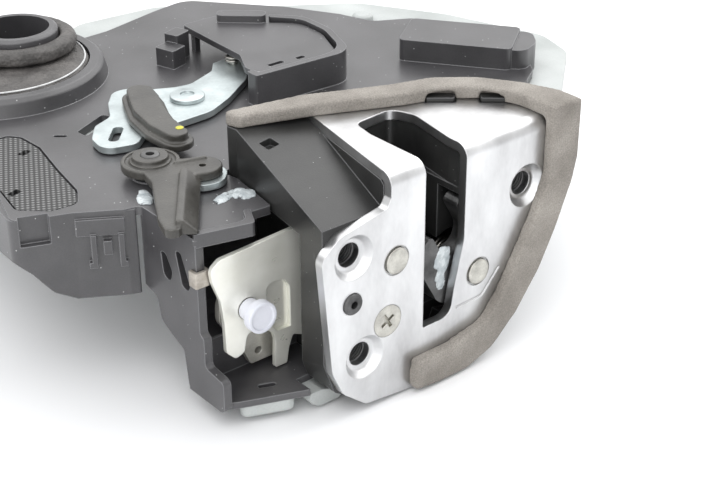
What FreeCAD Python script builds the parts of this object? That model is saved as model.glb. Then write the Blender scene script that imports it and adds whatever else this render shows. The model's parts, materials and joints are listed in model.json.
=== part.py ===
"""Door latch with its lock actuator, millimetres.

Origin: centre of the upper left fixing hole, on the front of the face plate.
+X runs along the face plate, +Y into the door, +Z square to the module's main face.
"""
import FreeCAD, Part
import Sketcher
import math
import os
import re
from types import SimpleNamespace
from FreeCAD import Vector

doc = FreeCAD.newDocument("door_latch")
sheet = doc.addObject("Spreadsheet::Sheet", "Sizes")

# Driving dimensions, each written once
sizes = {
    # face plate
    "plate_thick": 2.8,
    "plate_top": 19.5,
    "bend_radius": 4.0,
    "bend_inner": 1.2,
    "plate_right": 75.5,
    "plate_bottom": -47.6,
    "plate_left": -10.4,
    "dimple_radius": 6.3,
    "dimple_depth": 2.3,
    "dimple_floor": 4.6,
    "thread_radius": 3.4,
    "collar_radius": 5.6,
    "collar_reach": 6.5,
    "low_hole_x": 3.5,
    "low_hole_z": -30.8,
    "far_hole_x": 61.0,
    "far_hole_z": 0.9,
    # striker slot
    "slot_left": 23.8,
    "slot_right": 38.2,
    "slot_bottom": -30.0,
    "slot_back": 29.0,
    # pivots in the latch
    "catch_x": 43.8,
    "catch_z": -19.7,
    "pawl_x": 14.2,
    "pawl_z": -5.7,
    "pin_radius": 3.7,
    "pin_head": 0.6,
    "pivot_fit": 0.06,
    "catch_thick": 5.5,
    "catch_gap": 0.6,
    "catch_reach": 21.5,
    "mouth_width": 10.6,
    "mouth_depth": 13.4,
    "open_angle": 120.0,
    "screw_x": 11.3,
    "screw_z": -22.8,
    "screw_head": 4.6,
    "screw_shank": 2.4,
    "tube_pin_x": -0.6,
    "tube_pin_z": -13.1,
    "tube_pin_radius": 2.95,
    # latch body
    "body_left": -8.0,
    "body_right": 70.0,
    "body_bottom": -44.0,
    "body_back": 52.0,
    "shoulder_front": 9.0,
    "shoulder_back": 19.5,
    "cavity_depth": 8.8,
    # foam on the face plate
    "foam_height": 3.8,
    "foam_face": 3.4,
    # main housing
    "main_top": 5.5,
    "wall": 2.5,
    "skirt_bottom": -20.0,
    "pocket_left": -30.8,
    "floor_top": -40.0,
    "rim_top": 15.5,
    "cover_top": 14.2,
    "cover_thick": 2.0,
    # cylinder passage
    "ring_x": -17.0,
    "ring_y": 152.0,
    "ring_radius": 33.5,
    "ring_top": 10.8,
    "tube_x": -8.0,
    "tube_y": 155.0,
    "tube_bore": 10.5,
    "tube_outer": 13.0,
    "tube_top": 19.0,
    "follower_radius": 9.4,
    "follower_gap": 0.1,
    # drive
    "motor_x": 105.8,
    "motor_y": 74.2,
    "motor_angle": -54.0,
    "motor_long": 36.0,
    "motor_wide": 20.0,
    "motor_radius": 8.8,
    "motor_top": 12.6,
    "drive_level": -1.6,
    "shaft_radius": 1.5,
    "worm_radius": 3.0,
    "worm_long": 12.0,
    "wheel_radius": 16.0,
    "wheel_thick": 5.0,
    # pale tray behind the housing
    "tray_top": 2.8,
    "tray_thick": 2.4,
    "case_bottom": -47.5,
    # levers on the main face
    "lever_x": 15.2,
    "lever_y": 95.5,
    "lever_base": 6.0,
    "lever_thick": 2.0,
    "hub_x": -19.0,
    "hub_y": 62.5,
    "hub_radius": 8.0,
    "hub_bore": 2.6,
    "lock_base": 7.8,
    "lock_thick": 2.6,
    "bumper_height": 6.4,
    # pocket
    "bracket_y": 22.0,
    "bracket_thick": 1.4,
    "knob_x": -17.6,
    "knob_z": -17.8,
    "knob_radius": 4.4,
    "knob_long": 9.0,
    "bell_y": 26.0,
    "bell_thick": 2.0,
    "seat_gap": 0.3,
}
for row, (alias, value) in enumerate(sizes.items(), 1):
    sheet.set("A%d" % row, alias)
    sheet.set("B%d" % row, str(value))
    sheet.setAlias("B%d" % row, alias)
doc.recompute()
v = SimpleNamespace(**{alias: float(sheet.get(alias)) for alias in sizes})


# Outlines

def outline(points):
    """Edges of a closed outline, each corner (x, y) or (x, y, radius) rounded."""
    corners = [(Vector(p[0], p[1], 0), p[2] if len(p) > 2 else 0) for p in points]
    count = len(corners)
    entries = []
    for i, (here, radius) in enumerate(corners):
        before = corners[i - 1][0]
        after = corners[(i + 1) % count][0]
        back = (before - here).normalize()
        ahead = (after - here).normalize()
        half = back.getAngle(ahead) / 2
        if radius <= 0 or abs(half - math.pi / 2) < 1e-4:
            entries.append((here, None, here))
            continue
        run = radius / math.tan(half)
        room = 0.49 * min((before - here).Length, (after - here).Length)
        if run > room:
            run = room
            radius = run * math.tan(half)
        middle = here + (back + ahead).normalize() * (radius / math.sin(half) - radius)
        entries.append((here + back * run, middle, here + ahead * run))
    edges = []
    for i, (start, middle, end) in enumerate(entries):
        if middle is not None:
            edges.append(Part.Arc(start, middle, end))
        following = entries[(i + 1) % count][0]
        if (following - end).Length > 1e-6:
            edges.append(Part.LineSegment(end, following))
    return edges


def circle(x, y, radius):
    return [Part.Circle(Vector(x, y, 0), Vector(0, 0, 1), radius)]


def box(x0, y0, x1, y1, radius=0):
    return outline([(x0, y0, radius), (x1, y0, radius), (x1, y1, radius), (x0, y1, radius)])


def ribbon(points, width, ends=0.4):
    """Closed outline of a strip that follows points, with its left side on them."""
    path = [Vector(p[0], p[1], 0) for p in points]
    inner = []
    for i, here in enumerate(path):
        sides = []
        if i > 0:
            along = (here - path[i - 1]).normalize()
            sides.append(Vector(along.y, -along.x, 0))
        if i < len(path) - 1:
            along = (path[i + 1] - here).normalize()
            sides.append(Vector(along.y, -along.x, 0))
        side = sides[0] if len(sides) == 1 else (sides[0] + sides[1]).normalize()
        reach = width / max(side.dot(sides[0]), 0.3)
        inner.append(here + side * reach)
    radii = [ends] + [p[2] if len(p) > 2 else 0 for p in points[1:-1]] + [ends]
    outer_side = [(p.x, p.y, r) for p, r in zip(path, radii)]
    inner_side = [(p.x, p.y, max(r - width, 0.3)) for p, r in zip(inner, radii)]
    return outline(outer_side + inner_side[::-1])


def turned(points, x, y, degrees):
    """Points turned about their own origin, then set at (x, y)."""
    c = math.cos(math.radians(degrees))
    s = math.sin(math.radians(degrees))
    return [(x + p[0] * c - p[1] * s, y + p[0] * s + p[1] * c) + tuple(p[2:]) for p in points]


def sector(x, y, radius, start, end):
    """Pie slice between two angles in degrees."""
    def spot(degrees):
        turn = math.radians(degrees)
        return Vector(x + radius * math.cos(turn), y + radius * math.sin(turn), 0)
    centre = Vector(x, y, 0)
    arc = Part.Arc(spot(start), spot((start + end) / 2), spot(end))
    return [arc, Part.LineSegment(spot(end), centre), Part.LineSegment(centre, spot(start))]


# Features. Each one fills start to start + length along its plane's positive axis.

def cell(text):
    """A formula of sizes, written for the document."""
    return re.sub(r"[a-z]\w*", r"Sizes.\g<0>", text)


def newBody(label):
    body = doc.addObject("PartDesign::Body", label)
    body.Label = label
    return body


def sketch(body, plane, edges, start):
    made = body.newObject("Sketcher::SketchObject", "outline_" + body.Label)
    role = plane + "_Plane"
    made.AttachmentSupport = [(next(f for f in body.Origin.OriginFeatures if f.Role == role), "")]
    made.MapMode = "FlatFace"
    made.addGeometry(edges, False)
    made.addConstraint([Sketcher.Constraint("Block", index) for index in range(len(edges))])
    side = "-(%s)" if plane == "XZ" else "%s"
    made.setExpression("AttachmentOffset.Base.z", side % cell(start))
    return made


def pad(body, plane, edges, start, length):
    feature = body.newObject("PartDesign::Pad", "pad_" + body.Label)
    feature.Profile = sketch(body, plane, edges, start)
    feature.Reversed = plane == "XZ"
    feature.setExpression("Length", cell(length))
    return feature


def pocket(body, plane, edges, start, length):
    feature = body.newObject("PartDesign::Pocket", "cut_" + body.Label)
    feature.Profile = sketch(body, plane, edges, start)
    feature.Reversed = plane != "XZ"
    feature.setExpression("Length", cell(length))
    return feature


def spin(body, axis, first, second, profile, cut=False):
    """Profile (radius, place along the axis) turned about a line along Y or Z.

    The line stands at (x, z) for Y and at (x, y) for Z.
    """
    plane = "XY" if axis == "Y" else "XZ"
    made = sketch(body, plane, outline(profile), second)
    made.setExpression("AttachmentOffset.Base.x", cell(first))
    kind = "PartDesign::Groove" if cut else "PartDesign::Revolution"
    feature = body.newObject(kind, "turn_" + body.Label)
    feature.Profile = made
    feature.ReferenceAxis = (made, ["V_Axis"])
    feature.Angle = 360
    return feature


def roundEdges(body, radius, test, kind="PartDesign::Fillet"):
    """Round or bevel the edges of the body that pass the test."""
    doc.recompute()
    base = body.Tip
    names = ["Edge%d" % n for n, edge in enumerate(base.Shape.Edges, 1) if test(edge)]
    feature = body.newObject(kind, "edge_" + body.Label)
    feature.Base = (base, names)
    size = "Radius" if kind.endswith("Fillet") else "Size"
    feature.setExpression(size, cell(radius))
    return feature


def levelEdge(edge, height):
    box = edge.BoundBox
    return abs(box.ZMin - height) < 1e-4 and abs(box.ZMax - height) < 1e-4


def coil(label, axis, x, other, start, radius, wire, turns, legs):
    """Torsion spring: a wound wire with a straight leg at each end."""
    pitch = wire * 2 + 0.25
    helix = Part.makeHelix(pitch, pitch * turns, radius)
    first = helix.Edges[0].firstVertex().Point
    last = helix.Edges[-1].lastVertex().Point
    tangent = Vector(last.y, -last.x, 0).normalize() * -1
    path = [Part.LineSegment(first + Vector(0, -legs, 0), first).toShape()] + helix.Edges
    path.append(Part.LineSegment(last, last + tangent * legs).toShape())
    section = Part.Wire(Part.Circle(path[0].firstVertex().Point, Vector(0, 1, 0), wire).toShape())
    solid = Part.Wire(path).makePipeShell([section], True, True)
    made = doc.addObject("Part::Feature", label)
    made.Label = label
    made.Shape = solid
    if axis == "Y":
        turn = FreeCAD.Rotation(Vector(1, 0, 0), -90)
        made.Placement = FreeCAD.Placement(Vector(x, start, other), turn)
    else:
        made.Placement = FreeCAD.Placement(Vector(x, other, start), FreeCAD.Rotation())
    return made


parts = {}


def keep(body):
    parts[body.Label] = body
    return body


# Face plate with its formed holes

fixingHoles = [("0", "0"), ("low_hole_x", "low_hole_z"), ("far_hole_x", "far_hole_z")]
fixingSpots = [(0, 0), (v.low_hole_x, v.low_hole_z), (v.far_hole_x, v.far_hole_z)]
plateCorner = (12.2, 4.3)
lugSpots = [(53.4, 27.2), (65.0, 17.4)]
lugTurn = -40


def lugCorners(grow=0):
    """A hook's corners about its own middle."""
    long = 4 + grow
    wide = 1.8 + grow
    return [(-long, -wide, 0.6), (long, -wide, 0.6), (long, wide, 0.6), (-long, wide, 0.6)]


def faceOutline(grow=0):
    """The plate seen from the front, in X and Z."""
    top = v.plate_top + 5
    right = v.plate_right + grow
    low = v.plate_bottom
    return [(plateCorner[0], top), (plateCorner[0], 12.8, 1), (10.8, 10.2, 2), (-4.3, 7.3, 6),
            (v.plate_left, 2.7, 4), (-7.3, -31.8, 8), (-3.7, -39.5, 4), (3.9, -45.7, 3),
            (21.4, low, 1), (22.2, low + 3, 1), (47.5, low + 3.2, 8), (56.5, -35.4, 14),
            (63.6, -25.3, 12), (67.9, -13.2, 14), (right - 0.8, 2, 14), (right, top)]


def topOutline(grow=0):
    """The folded leg seen from above, in X and Y, with its back and right edges moved out."""
    return [(20.2, 45.5 + grow, 2), (44, 36.5 + grow, 12), (56, 33 + grow, 12),
            (66 + grow, 25 + grow, 10), (73 + grow, 14, 8), (v.plate_right + grow, 4, 6)]


def makeFacePlate():
    body = newBody("face_plate")
    low = v.plate_bottom - 2
    back = v.body_back
    inner = v.plate_top - v.plate_thick
    profile = outline([(0, low), (v.plate_thick, low), (v.plate_thick, inner, v.bend_inner),
                       (back, inner), (back, v.plate_top), (0, v.plate_top, v.bend_radius)])
    pad(body, "YZ", profile, "plate_left - 2", "plate_right - plate_left + 4")
    around = box(-40, -80, 120, 60)
    pocket(body, "XZ", around + outline(faceOutline()), "-1", "body_back + 5")
    left = [(12.2, -2), (v.plate_right + 0.02, -2)]
    back_edge = topOutline()[::-1] + [(19, 38.5, 3), plateCorner]
    pocket(body, "XY", box(-40, -30, 120, 80) + outline(left + back_edge),
           "plate_top - plate_thick", "plate_thick + 3")
    slot = [(v.slot_left, v.slot_bottom, 0.8), (v.slot_right - 4.4, v.slot_bottom, 4),
            (v.slot_right - 3.2, v.slot_bottom + 8, 3), (v.slot_right, v.slot_bottom + 22, 8),
            (v.slot_right, v.plate_top + 3), (v.slot_left, v.plate_top + 3)]
    pocket(body, "XZ", outline(slot), "-1", "plate_thick + 2")
    notch = [(v.slot_left, -1), (v.slot_right, -1), (v.slot_right, 7, 8),
             (v.slot_right + 3, v.slot_back - 5, 6), (v.slot_right + 0.4, v.slot_back + 2, 4),
             (v.slot_left + 1.4, v.slot_back + 0.6, 3), (v.slot_left, v.slot_back - 7, 5)]
    pocket(body, "XY", outline(notch), "plate_top - plate_thick - 2", "plate_thick + 4")
    for x, y in lugSpots:
        window = turned(lugCorners(0.4), x, y, lugTurn)
        pocket(body, "XY", outline(window), "plate_top - plate_thick - 1", "plate_thick + 2")
    floor = v.plate_thick + v.dimple_depth
    for x, z in fixingHoles:
        boss = [(0, 0.5), (v.dimple_radius + 0.7, 0.5), (v.dimple_radius + 0.7, v.plate_thick),
                (v.collar_radius, floor), (v.collar_radius - 0.8, v.collar_reach),
                (0, v.collar_reach)]
        spin(body, "Y", x, z, boss)
        dish = [(0, -1), (v.dimple_radius + 0.5, -1), (v.dimple_radius, 0),
                (v.dimple_floor, v.dimple_depth, 1), (v.thread_radius, v.dimple_depth),
                (v.thread_radius, v.collar_reach + 1), (0, v.collar_reach + 1)]
        spin(body, "Y", x, z, dish, cut=True)
    for x, z in [("catch_x", "catch_z"), ("pawl_x", "pawl_z")]:
        hole = [(0, -1), (v.pin_radius + 0.5, -1), (v.pin_radius + 0.5, 0.5),
                (v.pin_radius + v.pivot_fit, 0.5), (v.pin_radius + v.pivot_fit, 4), (0, 4)]
        spin(body, "Y", x, z, hole, cut=True)
    seat = [(0, -1), (v.screw_head + 0.1, -1), (v.screw_head + 0.1, 0.4),
            (v.screw_shank + 0.1, 2.3), (v.screw_shank + 0.1, 4), (0, 4)]
    spin(body, "Y", "screw_x", "screw_z", seat, cut=True)
    small = v.tube_pin_radius + v.pivot_fit
    spin(body, "Y", "tube_pin_x", "tube_pin_z", [(0, -1), (small, -1), (small, 4), (0, 4)], cut=True)
    # pressed line beside the slot
    line = ribbon([(52.1, -21.1), (45.6, -28.3, 3), (36, -28.6)], 0.7)
    pocket(body, "XZ", line, "-0.5", "0.8")
    return keep(body)


def makeFaceFoam():
    """Seal that runs along the folded leg's back edge, round the end and down the face."""
    body = newBody("face_foam")
    out = 1.4
    back = [(x + out * 0.6, y + out) + tuple(r) for x, y, *r in topOutline()]
    strip = [(-3, 52.5, 2), (-1, 46.5, 1.5), (19.5, 40, 8), (43, 29.8, 12), (54, 26.5, 10),
             (62, 20, 8), (66.6, 11, 8), (67, -v.foam_face), (v.plate_right + 2.2, -v.foam_face),
             (v.plate_right + 2.2, 5, 7)]
    end = [(back[4][0], back[4][1], 8), (back[3][0], back[3][1], 10), (back[2][0], back[2][1], 12),
           (back[1][0], back[1][1], 12), (21, 48, 8)]
    pad(body, "XY", outline(strip + end), "plate_top", "foam_height")
    right = v.plate_right + 2.2
    face = [(right, v.plate_top + v.foam_height), (right, 6, 10), (76, -1, 12), (70.6, -14, 14),
            (64.9, -25, 14), (56.6, -36, 12), (47.6, -44, 8), (38, -47.2, 10), (28, -47.3, 4),
            (19, -46.4, 1), (19.3, -37.8, 1), (32, -37.6, 8), (44.2, -35.2, 6), (50, -29, 8),
            (55.4, -20, 12), (61.6, -9, 12), (67, 3, 12), (67, v.plate_top + v.foam_height)]
    pad(body, "XZ", outline(face), "-foam_face", "foam_face")
    corner = box(66.9, -v.foam_face, v.plate_right + 2.2, 0.5)
    pad(body, "XY", corner, "plate_top - 0.5", "foam_height + 0.5")
    pocket(body, "YZ", outline([(0, v.plate_top - 8), (0, v.plate_top, v.bend_radius - 0.6),
                                (8, v.plate_top), (8, v.plate_top - 8)]), "60", "30")
    for x, y in lugSpots:
        pocket(body, "XY", outline(turned(lugCorners(v.seat_gap), x, y, lugTurn)), "plate_top - 1", "3.2")
    return keep(body)


# Latch body with its striker channel and mechanism cavity

def makeLatchBody():
    body = newBody("latch_body")
    front = v.plate_thick
    slope = (v.shoulder_back - v.shoulder_front) / (47 - front)
    left = v.body_left
    edge = plateCorner[0] - 0.1
    leftPart = [(left, front), (edge, front), (edge, plateCorner[1]), (edge + 6.8, 38.5),
                (edge + 7.9, 46.4, 2), (-2.5, 52, 2), (-1.6, 47, 3)]
    pad(body, "XY", outline(leftPart), "body_bottom", "shoulder_back - body_bottom")
    rise = [(front - 2, v.shoulder_front - 2 * slope), (47, v.shoulder_back), (47, 40), (front - 2, 40)]
    pocket(body, "YZ", outline(rise), "body_left - 5", "40")
    mainPart = [(edge - 0.1, front), (v.body_right, front, 3), (v.body_right + 1, 6, 3),
                (68, 14, 6), (62, 22, 6), (53, 29.5, 8), (43, 33, 8), (edge + 7.2, 42),
                (edge + 6.7, 38.5), (edge - 0.1, plateCorner[1])]
    pad(body, "XY", outline(mainPart), "body_bottom", "plate_top - plate_thick - body_bottom")
    # bevelled where the plate folds over it
    bevel = v.bend_inner + 0.1
    top = v.plate_top - v.plate_thick
    pocket(body, "YZ", outline([(front - 1, top - bevel - 1), (front + bevel + 1, top + 1),
                                (front - 1, top + 1)]), "plate_left", "plate_right - plate_left + 5")
    # the lower outline follows the plate
    lower = [(left - 1, -60), (left - 1, -30), (left, -30), (-4.6, -40, 3), (3.5, -44.5),
             (48, -44.5, 6), (55, -36, 8), (62, -25, 8), (66, -13, 10), (70.5, 1), (90, 1), (90, -60)]
    pocket(body, "XZ", outline(lower), "plate_thick - 1", "body_back + 4")
    # undercut beside the pocket
    pocket(body, "XY", box(left - 1, 14, 3.5, 56), "body_bottom - 1", "4.3 - body_bottom")
    # striker channel with a wide mouth
    channel = box(v.slot_left + 0.4, front - 1, v.slot_right + 0.6, v.slot_back + 1, 0)
    pocket(body, "XY", channel, "slot_bottom - 1.5", "plate_top - slot_bottom + 2")
    mouth = [(v.slot_left + 0.4, front - 1), (v.slot_right + 0.6, front - 1),
             (v.slot_right + 0.8, 8, 4), (v.slot_right + 3.4, v.slot_back - 5, 5),
             (v.slot_right + 1, v.slot_back + 2.4, 3), (v.slot_left + 1.4, v.slot_back + 1.4, 2),
             (v.slot_left + 0.4, v.slot_back - 7, 4)]
    pocket(body, "XY", outline(mouth), "6", "plate_top")
    # flat cavity that the catch and the pawl swing in
    reach = math.hypot(v.catch_reach, 8.6) + 1.2
    deep = "cavity_depth"
    pocket(body, "XZ", circle(v.catch_x, v.catch_z, 15.6), "plate_thick", deep)
    pocket(body, "XZ", sector(v.catch_x, v.catch_z, reach, 80, 214), "plate_thick", deep)
    pocket(body, "XZ", sector(v.catch_x, v.catch_z, 20.4, 40, 81), "plate_thick", deep)
    pocket(body, "XZ", sector(v.catch_x, v.catch_z, 19.5, 213, 248), "plate_thick", deep)
    pawlRoom = [(7.9, -13.5, 3), (22, -13.5, 1), (25.4, -10), (25.4, 9.2), (14.4, 9.2, 2),
                (14.2, 4, 1), (7.9, 1.5, 3)]
    pocket(body, "XZ", outline(pawlRoom), "plate_thick", deep)
    for x, z, room in [("catch_x", "catch_z", 8.8), ("pawl_x", "pawl_z", 7.4)]:
        spring = [(0, front + 8), (room, front + 8), (room, 18), (0, 18)]
        spin(body, "Y", x, z, spring, cut=True)
        bore = v.pin_radius + v.pivot_fit
        spin(body, "Y", x, z, [(0, 10), (bore, 10), (bore, 24), (0, 24)], cut=True)
    for x, z in fixingHoles:
        room = [(0, front - 1), (v.dimple_radius + 1, front - 1), (v.dimple_radius + 1, v.collar_reach + 0.6),
                (v.thread_radius + 1, v.collar_reach + 0.6), (v.thread_radius + 1, 12.5), (0, 12.5)]
        spin(body, "Y", x, z, room, cut=True)
    shank = v.screw_shank + 0.05
    spin(body, "Y", "screw_x", "screw_z", [(0, 1), (shank, 1), (shank, 14), (0, 14)], cut=True)
    small = v.tube_pin_radius + v.pivot_fit
    spin(body, "Y", "tube_pin_x", "tube_pin_z", [(0, 1), (small, 1), (small, 9), (0, 9)], cut=True)
    # square recess on the shoulder
    pocket(body, "XY", outline(turned([(-2.2, -1.8, 0.4), (2.2, -1.8, 0.4), (2.2, 1.8, 0.4),
                                       (-2.2, 1.8, 0.4)], 2.6, 38, 10)), "15.6", "8")
    # hooks that stand through the plate
    for x, y in lugSpots:
        lug = turned(lugCorners(), x, y, lugTurn)
        pad(body, "XY", outline(lug), "plate_top - plate_thick - 2", "plate_thick + 3.2")
    return keep(body)


def catchOutline(turn):
    """Catch in X and Z, its mouth pointing along the given angle."""
    c = math.cos(math.radians(turn))
    s = math.sin(math.radians(turn))
    half = v.mouth_width / 2
    deep = v.mouth_depth - half
    reach = v.catch_reach
    flat = [(reach - 0.8, half, 1.2), (reach, 8.5, 2.5), (13, 14, 5), (0, 13, 6),
            (-10.5, 7.5, 5), (-10.5, -7.5, 5), (0, -13.5, 6), (12, -13.5, 4), (19, -10, 3),
            (19.5, -half, 1.2), (deep, -half, half - 0.05), (deep, half, half - 0.05)]
    return [(v.catch_x + u * c + w * s, v.catch_z + u * s - w * c, r) for u, w, r in flat]


def makeCatch():
    body = newBody("catch")
    pad(body, "XZ", outline(catchOutline(v.open_angle)), "plate_thick + catch_gap", "catch_thick")
    bore = v.pin_radius + v.pivot_fit
    spin(body, "Y", "catch_x", "catch_z", [(0, 0), (bore, 0), (bore, 20), (0, 20)], cut=True)
    return keep(body)


def makePawl():
    body = newBody("pawl")
    x = v.pawl_x
    z = v.pawl_z
    shape = [(x - 3.5, z - 4.8, 4), (x + 3.6, z - 5.4, 3), (x + 8.0, z - 5.4, 1),
             (x + 7.9, z - 1.6, 1.2), (x + 4.9, z + 2.6, 3), (x + 7.4, z + 9.4, 2),
             (x + 4, z + 12, 2), (x + 1, z + 6.4, 3), (x - 4.8, z + 3, 4)]
    pad(body, "XZ", outline(shape), "plate_thick + catch_gap", "catch_thick")
    bore = v.pin_radius + v.pivot_fit
    spin(body, "Y", "pawl_x", "pawl_z", [(0, 0), (bore, 0), (bore, 20), (0, 20)], cut=True)
    return keep(body)


def makePins():
    for label, x, z in [("catch_pin", "catch_x", "catch_z"), ("pawl_pin", "pawl_x", "pawl_z")]:
        body = newBody(label)
        radius = v.pin_radius
        profile = [(0, -v.pin_head), (radius - 0.4, -v.pin_head), (radius, 0.2 - v.pin_head),
                   (radius, 23), (radius - 0.6, 23.6), (0, 23.6)]
        spin(body, "Y", x, z, profile)
        keep(body)
    screw = newBody("plate_screw")
    profile = [(0, 0), (v.screw_head, 0), (v.screw_head, 0.35), (v.screw_shank, 2.2),
               (v.screw_shank, 13), (v.screw_shank - 0.6, 13.6), (0, 13.6)]
    spin(screw, "Y", "screw_x", "screw_z", profile)
    x = v.screw_x
    z = v.screw_z
    for turn in (30, 120):
        bar = turned([(-2.5, -0.5), (2.5, -0.5), (2.2, 0.5), (-2.2, 0.5)], x, z, turn)
        pocket(screw, "XZ", outline(bar), "-0.5", "1.6")
    keep(screw)
    tube = newBody("tube_pin")
    outer = v.tube_pin_radius
    profile = [(1.1, -0.8), (outer - 0.4, -0.8), (outer, -0.4), (outer, 8.6), (1.1, 8.6)]
    spin(tube, "Y", "tube_pin_x", "tube_pin_z", profile)
    keep(tube)


def makeLatchSprings():
    start = v.plate_thick + v.cavity_depth + 0.4
    clear = v.pin_radius + v.seat_gap
    keep(coil("catch_spring", "Y", v.catch_x, v.catch_z, start, clear + 0.6, 0.6, 2.5, 1.5))
    keep(coil("pawl_spring", "Y", v.pawl_x, v.pawl_z, start, clear + 0.5, 0.5, 2.5, 1.2))


# Main housing

latchBack = [(-3.4, 53.2, 2), (21.4, 47.6, 3), (44.6, 38.4, 10), (56.4, 34.8, 8),
             (67.5, 26.5, 8), (76, 14, 6)]


def mainOutline():
    """The housing's upper wall seen from above."""
    left = v.pocket_left
    ring = v.ring_radius
    return [(-61, 63, 3), (-46.5, 57.5, 3), (-35, 50.5, 3), (left, 49.6, 1.5), (left, 25, 1),
            (-15, 21, 1), (-11, 28.5, 1), (-4.8, 28, 0.5), (-2.2, 46.5, 1)] + latchBack + [
            (84, 20, 4), (97, 33.5, 8), (107, 45, 6), (114, 49.5, 4), (122, 60, 5), (122.5, 70, 6),
            (117, 84, 8), (118, 108, 6),
            (104, 115.5, 6), (100, 128, 6), (90, 146, 10), (67, 174, 8), (52, 171, 6),
            (30, 165, 6), (v.ring_x + ring - 2, v.ring_y + 12, 2), (v.ring_x - ring + 1, v.ring_y, 2),
            (-51, 118, 8), (-55, 82, 8)]


skirtLine = [(-55.2, 112), (-58.6, 82, 8), (-61, 63, 4), (-46.5, 57.5, 4), (-35, 50.5, 3),
             (-32.2, 49.6)]
panelOutline = [(-51, 111, 2), (-36, 111, 2), (-33.4, 107.5, 2), (-32.8, 98, 3), (-36, 83, 6),
                (-38.6, 68, 4), (-42.5, 61, 3), (-50, 61.5, 3), (-57, 68, 3), (-54.5, 82, 4)]
rimLine = [(30.5, 86), (30.5, 81.4, 0.8), (65, 79.5, 8), (72, 98, 12), (72.6, 112, 8), (65, 121)]


def offset(points, by):
    """Outline moved inwards by a distance, corners kept."""
    count = len(points)
    moved = []
    for i, here in enumerate(points):
        before = points[i - 1]
        after = points[(i + 1) % count]
        a = Vector(here[0] - before[0], here[1] - before[1], 0).normalize()
        b = Vector(after[0] - here[0], after[1] - here[1], 0).normalize()
        side = (Vector(-a.y, a.x, 0) + Vector(-b.y, b.x, 0)).normalize()
        reach = by / side.dot(Vector(-a.y, a.x, 0))
        radius = max(here[2] - by, 0.3) if len(here) > 2 else 0
        moved.append((here[0] + side.x * reach, here[1] + side.y * reach, radius))
    return moved


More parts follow.
